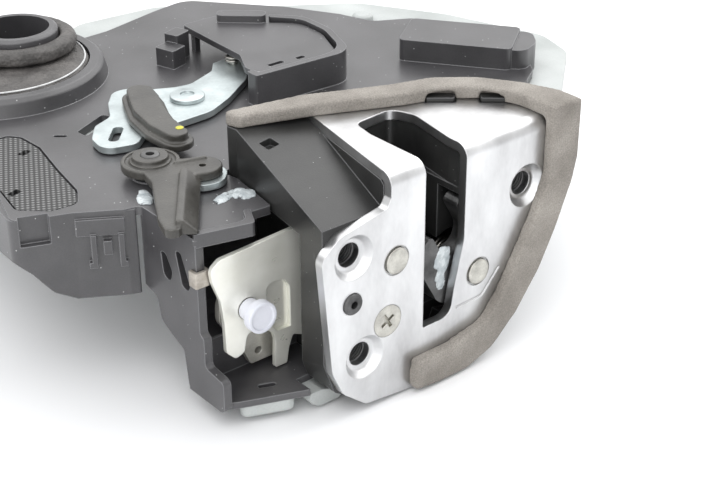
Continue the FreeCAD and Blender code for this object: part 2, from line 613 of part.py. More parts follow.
def makeHousing():
    body = newBody("housing")
    under = "main_top - wall"
    pad(body, "XY", outline(mainOutline()), under, "wall")
    pad(body, "XY", circle(v.ring_x, v.ring_y, v.ring_radius + 0.4), under, "wall")
    skirt = ribbon(skirtLine, -v.wall)
    pad(body, "XY", skirt, "skirt_bottom", "main_top - skirt_bottom - 0.5")
    # pocket: side wall, two floors with the step between them, back wall
    left = v.pocket_left
    floor = v.floor_top
    side = [(50, 3.6), (50, -18), (44.5, -19.5, 1.5), (43, -26, 2), (38, -28.5, 2),
            (33, -30.5, 1.5), (31.5, floor - 2, 2), (15.5, floor - 2, 2), (15.5, -32.5, 1.5),
            (23.4, -31.5, 1.5), (23.4, -23, 1), (25, -22, 1), (25, 3.6)]
    pad(body, "YZ", outline(side), "pocket_left", "wall")
    frontFloor = [(left, 18, 2), (left + 4.5, 15.5, 2), (-9, 8.5), (-8.3, 8.3), (-8.3, 14.3),
                  (3.2, 14.3), (3.2, 31.4), (left, 31.4)]
    pad(body, "XY", outline(frontFloor), "floor_top - 2", "2")
    pad(body, "XZ", box(left, floor - 2, 3.2, -28), "29", "2.4")
    backWall = [(48.2, 3), (48.2, -18, 1.5), (44.1, -19.2, 1.5), (42.6, -25.6, 2), (37.7, -28.0, 2),
                (29.6, -29.8)]
    pad(body, "YZ", ribbon(backWall, 2.4), "pocket_left", "3.2 - pocket_left")
    # slot in the pocket's floor, and the recesses in its side wall
    floorSlot = turned([(-2.4, -0.8, 0.7), (2.4, -0.8, 0.7), (2.4, 0.8, 0.7), (-2.4, 0.8, 0.7)], -15.9, 17.2, -22)
    pocket(body, "XY", outline(floorSlot), "floor_top - 3", "4")
    drop = [(41.4, -4.0, 1), (38.8, -4.2, 1.2), (36.2, -8.6, 2), (37.4, -11.9, 1.6), (40.4, -11.2, 1.8)]
    longDrop = [(34.4, -1.2, 1.2), (31.8, -1.0, 1.2), (28.2, -9.4, 1), (29.4, -11.4, 1.4), (32, -10.6, 1.4)]
    for recess in (drop, longDrop):
        pocket(body, "YZ", outline(recess), "pocket_left - 1", "wall + 2")
    # band, clip ribs and notch on the skirt
    bandTurn = math.degrees(math.atan2(50.5 - 57.5, 46.5 - 35))
    band = [(0.6, -0.9), (13.2, -0.9), (13.2, 0.6), (0.6, 0.6)]
    pad(body, "XY", outline(turned(band, -46.5, 57.5, bandTurn)), "-1.2", "main_top - 0.8")
    ribs = [(4.2, 5.6, -10.4, 9.6), (11.4, 12.8, -10.4, 9.6), (3.4, 5.6, -10.4, 1.6), (11.4, 13.4, -10.4, 1.6),
            (7.4, 9.6, -6.6, 4)]
    for near, far, low, tall in ribs:
        rib = [(near, -1.7), (far, -1.7), (far, 0.6), (near, 0.6)]
        pad(body, "XY", outline(turned(rib, -46.5, 57.5, bandTurn)), str(low), str(tall))
    notchTurn = math.degrees(math.atan2(57.5 - 63, 61 - 46.5))
    notch = [(1.8, -2), (9.6, -2), (9.6, 1.9), (1.8, 1.9)]
    pocket(body, "XY", outline(turned(notch, -61, 63, notchTurn)), "-2.4", "12")
    corner = [(-62, -21), (-62, -6), (-57.4, -10.5, 4), (-52.6, -17, 4), (-46, -20.5), (-46, -21)]
    pocket(body, "XZ", outline(corner), "54", "62")
    # lip along the pocket's front edge
    lip = ribbon([(left, 25), (-15, 21, 1), (-11.6, 27.6)], -2)
    pad(body, "XY", lip, "main_top - 0.5", "1.9")
    # seat for the fine panel
    pocket(body, "XY", outline(panelOutline), "main_top - 1.4", "3")
    # raised rim round the cover
    pad(body, "XY", ribbon(rimLine, -2.2), "main_top - 0.5", "rim_top - main_top + 0.5")
    # bulge over the motor with its round end
    half = v.motor_long / 2
    wide = v.motor_wide / 2
    bulge = [(-half, -wide, 2), (half, -wide, 2), (half, wide, 2), (-half, wide, 2)]
    pad(body, "XY", outline(turned(bulge, v.motor_x, v.motor_y, v.motor_angle)),
        "main_top - 0.5", "motor_top - main_top + 0.5")
    cap = [(half - 2, -wide + 1.5, 1), (half + 4, -wide + 1.5, 4), (half + 6.5, 0, 7),
           (half + 4, wide - 1.5, 4), (half - 2, wide - 1.5, 1)]
    pad(body, "XY", outline(turned(cap, v.motor_x, v.motor_y, v.motor_angle)),
        "main_top - wall", "motor_top - main_top + wall - 0.8")
    room = [(-half + 2, -wide + 1.1, 1), (half - 1, -wide + 1.1, 1), (half - 1, wide - 1.1, 1),
            (-half + 2, wide - 1.1, 1)]
    pocket(body, "XY", outline(turned(room, v.motor_x, v.motor_y, v.motor_angle)),
           "main_top - wall - 1", "motor_top - main_top + wall - 0.8")
    # passage for the lock cylinder
    ring = v.ring_radius
    flange = [(ring - 5, v.main_top - 1), (ring + 0.3, v.main_top - 1), (ring + 0.2, v.main_top),
              (ring - 0.9, v.ring_top - 1.2, 1), (ring - 2.2, v.ring_top, 1), (ring - 5, v.ring_top)]
    spin(body, "Z", "ring_x", "ring_y", flange)
    well = [(ring - 3, v.skirt_bottom + 6), (ring + 0.2, v.skirt_bottom + 6), (ring + 0.2, v.main_top - 1),
            (ring - 3, v.main_top - 1)]
    spin(body, "Z", "ring_x", "ring_y", well)
    spin(body, "Z", "tube_x", "tube_y", [(0, -12), (v.tube_outer, -12), (v.tube_outer, v.tube_top - 0.8, 0.6),
                                         (v.tube_outer - 1, v.tube_top, 0.4), (0, v.tube_top)])
    lower = v.follower_radius + v.follower_gap
    spin(body, "Z", "tube_x", "tube_y", [(0, -9), (lower, -9), (lower, 2.4), (v.tube_bore, 2.4),
                                         (v.tube_bore, v.tube_top + 1), (0, v.tube_top + 1)], cut=True)
    spin(body, "Z", "tube_x", "tube_y", [(0, -13), (v.tube_bore - 4, -13), (v.tube_bore - 4, -8),
                                         (0, -8)], cut=True)
    # windows, lever pivots and the post by the cover
    slotHole = [(-19, 96, 1), (-6, 103, 1), (-7.5, 106.5, 1), (-19.5, 100.5, 1)]
    pocket(body, "XY", outline(slotHole), "main_top - wall - 1", "wall + 2")
    pocket(body, "XY", outline([(-26.6, 101.6, 0.8), (-23.6, 99.2, 0.8), (-22.8, 100.4, 0.8),
                                (-25.8, 102.8, 0.8)]), "main_top - 1", "2")
    for x, y, pin in [("lever_x", "lever_y", 3.0), ("hub_x", "hub_y", v.hub_bore)]:
        top = v.lever_base - v.seat_gap / 3
        boss = [(pin + 2.6, v.main_top - 1), (pin + 2.6, top), (pin + 0.06, top),
                (pin + 0.06, v.main_top - 1)]
        spin(body, "Z", x, y, boss)
        bore = [(0, 0), (pin + 0.06, 0), (pin + 0.06, top + 1), (0, top + 1)]
        spin(body, "Z", x, y, bore, cut=True)
    post = [(28, 122, 0.5), (34, 124, 0.5), (32, 131, 0.5), (26, 129, 0.5)]
    pad(body, "XY", outline(post), "main_top - 0.5", "6.5")
    tallPost = [(33, 127, 0.5), (39, 129, 0.5), (37.4, 134, 0.5), (31.4, 132, 0.5)]
    pad(body, "XY", outline(tallPost), "main_top - 0.5", "9")
    return keep(body)


def makeLinkCover():
    """Cover plate that sits inside the rim, with a bar across its far end."""
    body = newBody("link_cover")
    shape = [(33.4, 84.2, 1), (62.6, 83.6, 5), (69, 98.6, 10), (69.6, 111, 7), (62, 118, 1),
             (53, 134, 2), (40, 134, 1), (38.6, 101, 2), (34, 92, 2)]
    pad(body, "XY", outline(shape), "cover_top - cover_thick", "cover_thick")
    legs = [(34.2, 84.9, 36.4, 86.6), (60, 84.4, 62, 86.4), (65.6, 108, 67.6, 110), (42, 130.6, 44, 132.6)]
    for x0, y0, x1, y1 in legs:
        pad(body, "XY", box(x0, y0, x1, y1), "main_top", "cover_top - main_top - 1")
    bar = turned([(-9, -2.6, 2), (6.8, -2.6, 2), (6.8, 2.6, 2), (-9, 2.6, 2)], 57.6, 124.4, -42)
    pad(body, "XY", outline(bar), "cover_top - 0.5", "3")
    for x, y, wide in [(40, 87.4, 5.5), (50, 86.6, 3)]:
        pocket(body, "XY", box(x, y, x + wide, y + 1.8, 0.5), "cover_top - cover_thick - 1", "cover_thick + 2")
    return keep(body)


def makeMeshPanel():
    body = newBody("mesh_panel")
    pad(body, "XY", outline(offset(panelOutline[::-1], 0.6)), "main_top - 1.4", "1.2")
    for x, y in [(-37.8, 98), (-52, 77.5)]:
        pocket(body, "XY", outline(turned([(-1.8, -1.1), (1.8, -1.1), (1.8, 1.1), (-1.8, 1.1)], x, y, 20)),
               "main_top - 2", "3")
    return keep(body)


def makeRingFoam():
    body = newBody("ring_foam")
    wide = v.ring_radius - 5.3
    spin(body, "Z", "ring_x", "ring_y", [(0, v.main_top), (wide, v.main_top), (wide, v.ring_top, 1),
                                         (wide - 4, v.ring_top + 0.8, 2), (0, v.ring_top + 1.2)])
    hole = v.tube_outer + v.seat_gap
    spin(body, "Z", "tube_x", "tube_y", [(0, 0), (hole, 0), (hole, 30), (0, 30)], cut=True)
    keep(body)
    collar = newBody("tube_foam")
    low = v.ring_top + 1.5
    spin(collar, "Z", "tube_x", "tube_y", [(hole, low), (hole + 5.4, low, 1), (hole + 5, low + 4.4, 2),
                                           (hole + 1, low + 4.8, 1), (hole, low + 4)])
    return keep(collar)


def makeFollower():
    body = newBody("cylinder_follower")
    wide = v.follower_radius
    floor = -9 + v.follower_gap
    spin(body, "Z", "tube_x", "tube_y", [(0, floor), (wide, floor), (wide, 1), (wide - 0.8, 2), (0, 2)])
    pocket(body, "XY", box(v.tube_x - 6.5, v.tube_y - 1.6, v.tube_x + 6.5, v.tube_y + 1.6, 0.8),
           "-4", "8")
    return keep(body)


# Levers on the main face

def makeOuterLever():
    body = newBody("outer_lever")
    shape = [(-22.8, 80.5, 5), (-13.4, 77.8, 4), (-8, 82.5, 3), (4, 82.8, 6), (15.3, 83.2, 12),
             (25, 88, 14), (37.3, 96.3, 10), (46, 106, 3), (45.6, 111, 2), (41.3, 114, 2),
             (37, 113.4, 1), (33, 108.4, 4), (22.2, 104, 6), (17, 105, 4), (9, 109, 5),
             (5.9, 113.3, 4), (0.5, 113.7, 5), (-5, 107, 6), (-9.5, 98.5, 4), (-16.5, 95.5, 5),
             (-21.6, 88.5, 5)]
    pad(body, "XY", outline(shape), "lever_base", "lever_thick")
    slot = turned([(-5, -1.5, 1.45), (5, -1.5, 1.45), (5, 1.5, 1.45), (-5, 1.5, 1.45)], -14.6, 87.2, 48)
    pocket(body, "XY", outline(slot), "lever_base - 1", "lever_thick + 2")
    spin(body, "Z", "lever_x", "lever_y", [(0, 0), (3.06, 0), (3.06, 12), (0, 12)], cut=True)
    keep(body)
    rivet = newBody("lever_rivet")
    top = v.lever_base + v.lever_thick
    spin(rivet, "Z", "lever_x", "lever_y", [(0, v.main_top - v.wall + 0.1), (3, v.main_top - v.wall + 0.1),
                                            (3, top + 0.1), (5.2, top + 0.1), (5.2, top + 1.3, 0.4),
                                            (2.2, top + 1.6), (2.0, top + 0.9), (0, top + 0.9)])
    keep(rivet)
    bumper = newBody("lever_bumper")
    banana = [(-5.6, 99, 5), (-9.2, 88, 14), (-10.6, 77, 14), (-10.2, 63.6, 3), (-6.2, 60.6, 3),
              (-4.4, 75, 14), (-1.6, 84.4, 10), (3.4, 93, 6), (3.6, 101, 5)]
    pad(bumper, "XY", outline(banana), "lever_base + lever_thick", "bumper_height")
    roundEdges(bumper, "1.6", lambda e: levelEdge(e, top + v.bumper_height))
    keep(bumper)


def makeLockLever():
    body = newBody("lock_lever")
    x = v.hub_x
    y = v.hub_y
    shape = [(x - 3.5, y - 5.5), (-26.6, 50, 4), (-31.4, 34, 3), (-30.6, 27, 2), (-23.4, 26.2, 2),
             (-20.2, 42, 4), (-15.4, 47.5, 3), (-9.5, 45.4, 4), (-5.2, 49.5, 4.5), (-7, 55.5, 4),
             (x + 4.5, y - 1)]
    pad(body, "XY", outline(shape), "lock_base", "lock_thick")
    pad(body, "XY", circle(x, y, v.hub_radius), "lock_base", "lock_thick")
    pad(body, "XY", circle(x, y, v.hub_radius - 3.2), "lock_base + lock_thick - 0.5", "2")
    rib = [(-23.2, 27.4, 0.6), (-21.2, 44.5, 0.8), (-18.6, 50, 1), (-21.2, 50.6, 1), (-24.4, 42, 1),
           (-26.4, 28, 0.6)]
    pad(body, "XY", outline(rib), "lock_base + lock_thick - 0.5", "2.7")
    groove = [(v.hub_radius - 2.6, v.lock_base + 1.2), (v.hub_radius - 1.2, v.lock_base + 1.2),
              (v.hub_radius - 1.2, 20), (v.hub_radius - 2.6, 20)]
    spin(body, "Z", "hub_x", "hub_y", groove, cut=True)
    spin(body, "Z", "hub_x", "hub_y", [(0, 0), (v.hub_bore + 0.06, 0), (v.hub_bore + 0.06, 20), (0, 20)],
         cut=True)
    pocket(body, "XY", circle(-10.4, 51.4, 1), "lock_base - 1", "lock_thick + 2")
    keep(body)
    quadrant = newBody("lock_quadrant")
    zinc = [(-20, 52, 2), (-14, 44.6, 4), (-8.5, 43.4, 5), (-3.4, 48.6, 5), (-4.2, 54, 4),
            (-12, 57, 3)]
    pad(quadrant, "XY", outline(zinc), "main_top + 0.5", "lock_base - main_top - 0.5")
    keep(quadrant)
    bush = newBody("hub_pin")
    top = v.lock_base + v.lock_thick + 1.5
    spin(bush, "Z", "hub_x", "hub_y", [(1.2, v.main_top - v.wall + 0.1),
                                       (v.hub_bore, v.main_top - v.wall + 0.1), (v.hub_bore, top),
                                       (v.hub_bore - 0.3, top + 0.3), (1.2, top + 0.3)])
    keep(bush)


def makeReturnSpring():
    start = v.lever_base + v.lever_thick + 0.1
    stud = newBody("spring_stud")
    spin(stud, "Z", "42.2", "109.6", [(0, start - 0.1), (1.4, start - 0.1), (1.4, start + 3.1),
                                      (0, start + 3.1)])
    keep(stud)
    keep(coil("return_spring", "Z", 42.2, 109.6, start + 0.55, 2.3, 0.4, 2.0, 6.5))


# Pieces in the pocket

def makeBracket():
    body = newBody("cable_bracket")
    back = "bracket_y"
    shape = [(-28.6, -3, 2.5), (-25.5, -0.8, 2), (3.0, 0.6, 0.8), (1.6, -12, 4), (1.4, -33.5, 0.8),
             (-3.2, -31.4, 0.6), (-4.6, -35), (-5.4, -39.6, 0.6), (-9.4, -39.6, 0.6), (-9, -31),
             (-9.8, -28.4, 1), (-14.6, -24.6, 1), (-18.2, -25.8, 1.5), (-19.2, -30.7, 1.5),
             (-22, -31.6, 1.5), (-24.8, -28.8, 2), (-25, -20, 4), (-25.8, -13, 4), (-28, -7, 3)]
    pad(body, "XZ", outline(shape), back, "bracket_thick")
    dish = [(-12.4, -12, 3), (-5, -12.5, 4), (-3, -16, 3), (-3, -29.5, 0.6), (-8.6, -29.4, 0.6),
            (-12.4, -25, 1)]
    pad(body, "XZ", outline(dish), "bracket_y + 1", "bracket_thick + 0.4")
    pocket(body, "XZ", outline(offset(dish[::-1], 0.9)), "bracket_y - 1", "bracket_thick + 1")
    spin(body, "Y", "knob_x", "knob_z", [(0, 0), (3.06, 0), (3.06, 40), (0, 40)], cut=True)
    return keep(body)


def makeBellLever():
    body = newBody("inside_lever")
    x = v.knob_x
    z = v.knob_z
    low = v.floor_top + 1.7
    shape = [(x - 6, z + 4, 5), (x + 5, z + 6, 5), (x + 6.4, z - 3, 4), (-5.6, -33, 1.5),
             (-7, low, 1), (-14.5, low, 1), (-17.4, -32, 2), (x - 6.4, z - 4, 5)]
    pad(body, "XZ", outline(shape), "bell_y", "bell_thick")
    spin(body, "Y", "knob_x", "knob_z", [(0, 0), (3.0, 0), (3.0, 40), (0, 40)], cut=True)
    pocket(body, "XZ", circle(-12, low + 3.4, 1.1), "bell_y - 1", "bell_thick + 2")
    keep(body)
    knob = newBody("knob")
    head = v.bracket_y - 1.6
    spin(knob, "Y", "knob_x", "knob_z", [(0, head - v.knob_long), (v.knob_radius - 0.9, head - v.knob_long),
                                         (v.knob_radius, head - v.knob_long + 0.9, 0.6),
                                         (v.knob_radius, head), (6.2, head), (6.2, v.bracket_y - 0.3),
                                         (3, v.bracket_y - 0.3), (3, v.bell_y + v.bell_thick),
                                         (0, v.bell_y + v.bell_thick)])
    return keep(knob)


def makePocketClip():
    """Spring clip pushed over the pocket wall's front edge."""
    body = newBody("pocket_clip")
    left = v.pocket_left
    shape = outline([(left - 1, 23.9, 0.6), (left + v.wall + 0.9, 23.9, 0.6), (left + v.wall + 0.9, 28.6),
                     (left + v.wall + 0.1, 28.6), (left + v.wall + 0.1, 24.8), (left - 0.1, 24.8),
                     (left - 0.1, 27), (left - 1, 27)])
    pad(body, "XY", shape, "-8", "4.4")
    return keep(body)


def makePocketFoot():
    """Pale rounded pads under the pocket's floor."""
    body = newBody("pocket_foot")
    under = v.floor_top - 2
    pads = [[(-25.6, 15.6, 2), (-12, 10, 2.5), (-8.6, 16, 2), (-22, 22, 3)]]
    for place in pads:
        pad(body, "XY", outline(place), str(under - 4), "4")
    strip = box(-14, 14.6, 0, 18)
    pad(body, "XY", strip, str(under - 2.4), "2.4")
    lump = [(-8, under), (-4.2, under), (-1.8, under - 0.8), (3, under - 3.2), (2.2, under - 5, 1.5),
            (-5, under - 5, 2.5), (-8, under - 3, 2)]
    pad(body, "XZ", outline(lump), "8.6", "9")
    roundEdges(body, "1.2", lambda e: levelEdge(e, under - 4))
    return keep(body)


# Drive: motor, worm and worm wheel between the housing and the tray

motorTurn = math.radians(v.motor_angle)
motorLine = Vector(math.cos(motorTurn), math.sin(motorTurn), 0)
motorLevel = v.drive_level


def alongMotor(distance, side=0):
    """Spot at a distance along the motor's axis and beside it."""
    return (v.motor_x + motorLine.x * distance - motorLine.y * side,
            v.motor_y + motorLine.y * distance + motorLine.x * side)


wormCentre = -v.motor_long / 2 - 9.5
wheelSpot = alongMotor(wormCentre, -(v.wheel_radius + v.worm_radius + 0.1))


def onMotorLine(body, distance):
    """Set a body that was made along Z on the motor's axis."""
    x, y = alongMotor(distance)
    turn = FreeCAD.Rotation(Vector(0, 0, 1), motorLine)
    body.Placement = FreeCAD.Placement(Vector(x, y, motorLevel), turn)


def makeMotor():
    body = newBody("motor")
    half = v.motor_long / 2 - 2.6
    radius = v.motor_radius
    spin(body, "Z", "0", "0", [(0, -half - 1.4), (3, -half - 1.4), (3, -half), (radius - 0.6, -half),
                               (radius, 0.6 - half), (radius, half - 1), (radius - 1, half), (0, half)])
    bore = v.shaft_radius + v.pivot_fit
    spin(body, "Z", "0", "0", [(0, -half - 3), (bore, -half - 3), (bore, 6 - half), (0, 6 - half)], cut=True)
    onMotorLine(body, 0.8)
    keep(body)


def makeWorm():
    """Motor shaft with the worm on it."""
    body = newBody("worm_shaft")
    half = v.motor_long / 2 - 2.6
    root = v.worm_radius - 0.9
    long = v.worm_long
    middle = wormCentre - 0.8
    teeth = []
    pitch = 1.8
    rings = int(long / pitch)
    low = middle - rings * pitch / 2
    for n in range(rings):
        base = low + n * pitch
        teeth += [(root, base), (v.worm_radius, base + pitch * 0.3), (v.worm_radius, base + pitch * 0.5),
                  (root, base + pitch * 0.8)]
    profile = [(0, middle - long / 2 - 3), (v.shaft_radius, middle - long / 2 - 3),
               (v.shaft_radius, low - 0.6), (root, low - 0.6)] + teeth + [
                   (root, low + rings * pitch + 0.4), (v.shaft_radius, low + rings * pitch + 0.4),
                   (v.shaft_radius, 5.5 - half), (0, 5.5 - half)]
    spin(body, "Z", "0", "0", profile)
    onMotorLine(body, 0.8)
    keep(body)


def makeWheel():
    """Worm wheel with its hub, spokes and toothed edge, and the pin that it turns on."""
    body = newBody("worm_wheel")
    x, y = wheelSpot
    level = motorLevel
    root = v.wheel_radius - 1.1
    count = 40
    shape = []
    for n in range(count):
        for part, radius in ((0.0, root), (0.3, v.wheel_radius), (0.5, v.wheel_radius), (0.8, root)):
            turn = 2 * math.pi * (n + part) / count
            shape.append((x + radius * math.cos(turn), y + radius * math.sin(turn)))
    thick = v.wheel_thick
    pad(body, "XY", outline(shape), str(level - thick / 2), "wheel_thick")
    for face in (level + thick / 2 - 1.4, level - thick / 2 - 1):
        ring = circle(x, y, root - 2) + circle(x, y, 5.2)
        pocket(body, "XY", ring, str(face), "2.4")
    pocket(body, "XY", circle(x, y, 3.06), str(level - 6), "12")
    keep(body)
    pin = newBody("wheel_pin")
    pad(pin, "XY", circle(x, y, 3.0), str(level - thick / 2 - 3.4), str(thick + 3.4 + 0.8))
    keep(pin)


def driveRoom(grow):
    """Outlines of the room for the motor, the worm and the wheel."""
    half = v.motor_long / 2
    wide = v.motor_radius + 0.6 + grow
    motor = [(-half - grow + 1, -wide, 1), (half - 0.5 + grow, -wide, 1), (half - 0.5 + grow, wide, 1),
             (-half - grow + 1, wide, 1)]
    slim = v.worm_radius + 1.6 + grow
    far = wormCentre - v.worm_long / 2 - 3.6 - grow
    worm = [(far, -slim, 1), (-half + 3, -slim, 1), (-half + 3, slim, 1), (far, slim, 1)]
    places = [outline(turned(p, v.motor_x, v.motor_y, v.motor_angle)) for p in (motor, worm)]
    return places + [circle(wheelSpot[0], wheelSpot[1], v.wheel_radius + 0.9 + grow)]


def makeTray():
    """Pale tray behind the housing: flange, drive room and the deep case at the back."""
    body = newBody("tray")
    flange = [(22, 57, 2), (46, 42, 4), (60, 38, 6), (72, 31, 6), (92, 23, 6), (106, 30, 6),
              (139, 58, 12), (144, 74, 10), (133, 110, 20), (117, 138, 14), (82, 162, 10),
              (60, 181, 14), (30, 183, 8), (17, 176, 3), (22, 160, 4), (22, 140, 8), (-2, 112, 6),
              (-28, 112, 4), (-32, 90, 8), (-28, 60, 4)]
    pad(body, "XY", outline(flange), "tray_top - tray_thick", "tray_thick")
    deep = motorLevel - v.motor_radius - 0.6
    for place in driveRoom(2):
        pad(body, "XY", place, str(deep - 2), str(v.tray_top - deep + 2))
    for place in driveRoom(0):
        pocket(body, "XY", place, str(deep), str(v.tray_top - deep + 1))
    wheelFloor = motorLevel - v.wheel_thick / 2 - 0.8
    x, y = wheelSpot
    pad(body, "XY", circle(x, y, 5), str(deep - 1), str(wheelFloor - deep + 1))
    pocket(body, "XY", circle(x, y, 3.06), str(wheelFloor - 2.7), "8")
    # deep case with an open underside
    case = [(24, 104, 4), (86, 104, 4), (86, 146, 6), (66, 166, 8), (24, 166, 4)]
    pad(body, "XY", outline(case), "case_bottom + 2.5", "tray_top - tray_thick - case_bottom - 2")
    pocket(body, "XY", outline(offset(case, 2.6)), "case_bottom", "-case_bottom - 4")
    for x, y in caseScrews:
        pad(body, "XY", circle(x, y, 4), "case_bottom + 2.5", "24")
        pocket(body, "XY", circle(x, y, 1.3), "case_bottom + 2", "12")
    pocket(body, "XZ", box(35, -31, 59, -15, 1.5), "160", "10")
    # peg on the flange
    spin(body, "Z", "107", "124", [(0, 2), (3.6, 2), (3.6, 4.6, 1), (2.6, 5.2), (0, 5.2)])
    return keep(body)


caseScrews = [(30.5, 110.5), (79.5, 110.5), (30.5, 159.5), (74, 150)]


def makeCaseLid():
    lid = newBody("case_lid")
    case = [(24, 104, 4), (86, 104, 4), (86, 146, 6), (66, 166, 8), (24, 166, 4)]
    pad(lid, "XY", outline(case), "case_bottom", "2.5")
    for x, y in caseScrews:
        pocket(lid, "XY", circle(x, y, 1.7), "case_bottom - 1", "5")
        pocket(lid, "XY", circle(x, y, 3.1), "case_bottom - 1", "2.2")
    for n in range(5):
        y = 118 + n * 9
        pocket(lid, "XY", box(40, y, 70, y + 4.5, 1), "case_bottom - 1", "1.8")
    keep(lid)
    screws = []
    for n, (x, y) in enumerate(caseScrews):
        head = doc.addObject("Part::Cylinder", "screw_head_%d" % n)
        head.Radius = 2.9
        head.Height = 1.1
        head.Placement.Base = Vector(x, y, v.case_bottom + 0.1)
        shank = doc.addObject("Part::Cylinder", "screw_shank_%d" % n)
        shank.Radius = 1.3
        shank.Height = 12
        shank.Placement.Base = Vector(x, y, v.case_bottom + 1.1)
        joined = doc.addObject("Part::Fuse", "screw_%d" % n)
        joined.Base = head
        joined.Tool = shank
        screws.append(joined)
    group = doc.addObject("Part::Compound", "case_screws")
    group.Label = "case_screws"
    group.Links = screws
    keep(group)


def makeConnector():
    """Socket in the case's far wall, with its contacts and the carrier that feeds them."""
    body = newBody("connector")
    pad(body, "XZ", box(32.5, -33.5, 61.5, -12.5, 2), "166", "1.6")
    pad(body, "XZ", box(35.2, -30.8, 58.8, -15.2, 1.4), "161", "20")
    pocket(body, "XZ", box(36.8, -29.2, 57.2, -16.8, 0.8), "164", "18")
    pad(body, "XY", box(44, 168, 50, 178, 0.4), "-15.5", "1.6")
    for row in (-20.6, -25.4):
        for n in range(6):
            x = 39.5 + n * 3
            pocket(body, "XZ", box(x - 0.42, row - 0.42, x + 0.42, row + 0.42), "160", "6")
    keep(body)
    pins = []
    for row in (-20.6, -25.4):
        for n in range(6):
            pin = doc.addObject("Part::Box", "contact_%d_%d" % (n, -row))
            pin.Length = 0.8
            pin.Width = 14
            pin.Height = 0.8
            pin.Placement.Base = Vector(39.5 + n * 3 - 0.4, 158, row - 0.4)
            pins.append(pin)
    group = doc.addObject("Part::Compound", "connector_pins")
    group.Label = "connector_pins"
    group.Links = pins
    keep(group)
    carrier = newBody("circuit_carrier")
    pad(carrier, "XZ", box(35, -36, 60, -12, 1), "156.2", "1.6")
    keep(carrier)


makeFacePlate()
makeFaceFoam()
makeLatchBody()
makeCatch()
makePawl()
makePins()
makeLatchSprings()
makeHousing()
makeLinkCover()
makeMeshPanel()
makeRingFoam()
makeFollower()
makeOuterLever()
makeLockLever()
makeReturnSpring()
makeBracket()
makeBellLever()
makePocketClip()
makePocketFoot()
makeMotor()
makeWorm()
makeWheel()
makeTray()
makeCaseLid()
makeConnector()

doc.recompute()
for item in doc.Objects:
    if "Invalid" in item.State or "Error" in item.State:
        raise RuntimeError("%s failed: %s" % (item.Label, item.State))
os.makedirs("parts", exist_ok=True)
for label, item in parts.items():
    shape = item.Shape
    if shape.isNull() or not shape.isValid():
        raise RuntimeError("%s has no valid shape" % label)
    print("%-18s %2d solid %9.1f mm3  %s" % (label, len(shape.Solids), shape.Volume,
          " ".join("%.1f" % n for n in (shape.BoundBox.XMin, shape.BoundBox.XMax, shape.BoundBox.YMin,
                                        shape.BoundBox.YMax, shape.BoundBox.ZMin, shape.BoundBox.ZMax))))
    shape.exportStep("parts/%s.step" % label)
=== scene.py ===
import bpy
import json
from math import radians, hypot
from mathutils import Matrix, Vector

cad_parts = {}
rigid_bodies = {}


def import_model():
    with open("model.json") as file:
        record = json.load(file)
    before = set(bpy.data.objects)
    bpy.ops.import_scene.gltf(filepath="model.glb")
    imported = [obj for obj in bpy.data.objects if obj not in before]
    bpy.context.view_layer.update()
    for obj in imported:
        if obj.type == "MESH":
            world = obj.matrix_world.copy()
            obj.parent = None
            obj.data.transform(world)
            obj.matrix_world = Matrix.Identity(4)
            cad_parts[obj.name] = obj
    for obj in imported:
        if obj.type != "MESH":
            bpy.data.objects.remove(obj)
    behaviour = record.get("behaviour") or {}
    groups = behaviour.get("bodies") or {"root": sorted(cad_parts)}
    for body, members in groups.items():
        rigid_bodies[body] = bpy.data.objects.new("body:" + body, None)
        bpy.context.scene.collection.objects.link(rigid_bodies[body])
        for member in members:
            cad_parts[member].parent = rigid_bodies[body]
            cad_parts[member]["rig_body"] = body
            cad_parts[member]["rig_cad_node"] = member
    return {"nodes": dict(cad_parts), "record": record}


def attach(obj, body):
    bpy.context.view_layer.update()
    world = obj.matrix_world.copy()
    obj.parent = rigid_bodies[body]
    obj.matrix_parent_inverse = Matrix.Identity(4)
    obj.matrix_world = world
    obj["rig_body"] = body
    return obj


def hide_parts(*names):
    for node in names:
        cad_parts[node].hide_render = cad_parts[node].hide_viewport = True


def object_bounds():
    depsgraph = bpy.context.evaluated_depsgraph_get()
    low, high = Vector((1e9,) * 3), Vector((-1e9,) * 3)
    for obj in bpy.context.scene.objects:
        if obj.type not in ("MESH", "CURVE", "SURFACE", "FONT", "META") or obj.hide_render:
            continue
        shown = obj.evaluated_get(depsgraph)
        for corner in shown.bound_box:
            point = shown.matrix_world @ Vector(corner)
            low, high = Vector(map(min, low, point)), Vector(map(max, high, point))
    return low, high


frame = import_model()
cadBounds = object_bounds()
nodes = frame["nodes"]
print("latch loaded,", len(nodes), "nodes")
mm = 0.001


# helpers for materials

def addNode(tree, kind, values, **settings):
    # values go to the sockets, settings to the node itself
    node = tree.nodes.new("ShaderNode" + kind)
    for setting, choice in settings.items():
        setattr(node, setting, choice)
    for socket, value in values.items():
        node.inputs[socket].default_value = value
    return node


# what a finish has unless it says otherwise; depths are in metres, the edge in millimetres
plainLook = {
    "metal": 0.0, "specular": 0.5, "stretch": (1, 1, 1), "speckle": 0.15,
    "patchScale": 60, "patchDetail": 5, "patchFrom": 0.3, "patchTo": 0.72,
    "grainScale": 1800, "grainDetail": 3, "bump": 0.15, "bumpDepth": 0.0002,
    # the last three values set where the painted edge highlight begins, where it is full, and how strong it
    # is
    "edge": 0.35, "edgeSamples": 6, "rimFrom": 0.995, "rimTo": 0.86, "rimShare": 0.85,
    "dustScale": 330, "dustTone": (0.42, 0.42, 0.42),
}


